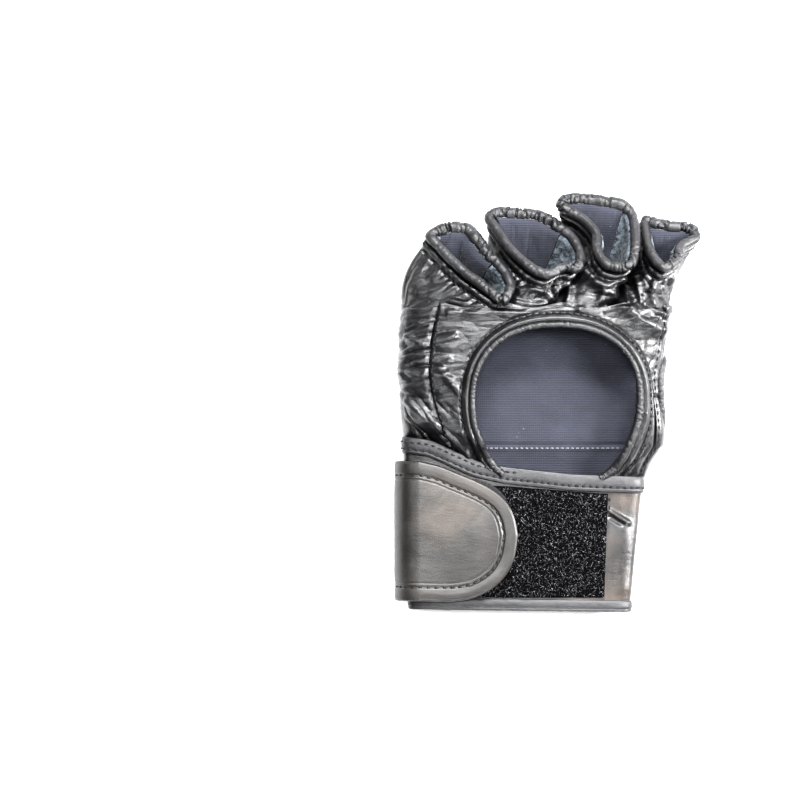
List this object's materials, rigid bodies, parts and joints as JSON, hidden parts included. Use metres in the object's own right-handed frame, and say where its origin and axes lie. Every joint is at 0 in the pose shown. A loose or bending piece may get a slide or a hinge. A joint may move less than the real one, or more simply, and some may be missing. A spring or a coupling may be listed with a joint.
{
  "type": "mma glove",
  "caption": "Open-palm grappling glove in padded leather with separate finger loops, a thumb opening and a wrap-round hook-and-loop wrist strap.",
  "frame": {"origin": "centre of the resting glove's footprint, on the surface that it lies on", "axes": "+X towards the thumb side, +Y towards the fingertips, +Z from the padded back to the palm"},
  "size_m": [0.1425, 0.1943, 0.0441],
  "materials": {
    "black_leather": "soft black glove leather with creases and a satin shine",
    "binding_leather": "thin black leather binding, gathered round curves",
    "strap_leather": "smooth worn black leather with a brownish cloud",
    "knit_lining": "dark blue-grey ribbed knit",
    "suede_lining": "blue-grey suede, napped",
    "foam": "closed-cell foam padding, sewn in",
    "loop_tape": "black looped pile",
    "hook_tape": "black hook tape"
  },
  "bodies": {
    "glove": {"back_cover": "black_leather", "hand_back_pad": "foam", "knuckle_pad": "foam", "back_lining": "knit_lining", "palm_panel": "black_leather", "palm_opening_binding": "binding_leather", "side_panel": "black_leather", "thumb_upper_panel": "black_leather", "thumb_lower_panel": "black_leather", "thumb_binding": "binding_leather", "cuff_top_binding": "binding_leather", "cuff_band": "black_leather", "cuff_lining": "knit_lining", "cuff_bottom_binding": "binding_leather", "loop_patch": "loop_tape", "strap_back": "strap_leather", "strap_wrap": "strap_leather", "strap_fold": "strap_leather"},
    "strap_root": {"strap_root_cover": "strap_leather", "strap_root_backing": "knit_lining", "strap_tip_fold": "strap_leather"},
    "strap_tip": {"strap_tip_cover": "strap_leather", "strap_tip_backing": "knit_lining", "hook_patch": "hook_tape"},
    "little_loop": {"little_sleeve": "black_leather", "little_lining": "suede_lining", "little_pad": "foam", "little_binding": "binding_leather"},
    "ring_loop": {"ring_sleeve": "black_leather", "ring_lining": "suede_lining", "ring_pad": "foam", "ring_binding": "binding_leather"},
    "middle_loop": {"middle_sleeve": "black_leather", "middle_lining": "suede_lining", "middle_pad": "foam", "middle_binding": "binding_leather"},
    "index_loop": {"index_sleeve": "black_leather", "index_lining": "suede_lining", "index_pad": "foam", "index_binding": "binding_leather"}
  },
  "joints": [
    {"name": "strap_open", "type": "hinge", "parent": "glove", "child": "strap_root", "pos_m": [-0.07005, -0.06, 0.01257], "axis": [0, -1, 0], "range_deg": [0, 115]},
    {"name": "strap_tip_peel", "type": "hinge", "parent": "strap_root", "child": "strap_tip", "pos_m": [-0.0422, -0.06, 0.02388], "axis": [0, -1, 0], "range_deg": [0, 70]},
    {"name": "little_flex", "type": "hinge", "parent": "glove", "child": "little_loop", "pos_m": [-0.047, 0.044, 0.02], "axis": [1, 0, 0], "range_deg": [0, 20], "deforming": ["little_sleeve"]},
    {"name": "ring_flex", "type": "hinge", "parent": "glove", "child": "ring_loop", "pos_m": [-0.013, 0.044, 0.02], "axis": [1, 0, 0], "range_deg": [0, 20], "deforming": ["ring_sleeve"]},
    {"name": "middle_flex", "type": "hinge", "parent": "glove", "child": "middle_loop", "pos_m": [0.0165, 0.044, 0.02], "axis": [1, 0, 0], "range_deg": [0, 20], "deforming": ["middle_sleeve"]},
    {"name": "index_flex", "type": "hinge", "parent": "glove", "child": "index_loop", "pos_m": [0.0436, 0.044, 0.02], "axis": [1, 0, 0], "range_deg": [0, 20], "deforming": ["index_sleeve"]}
  ]
}
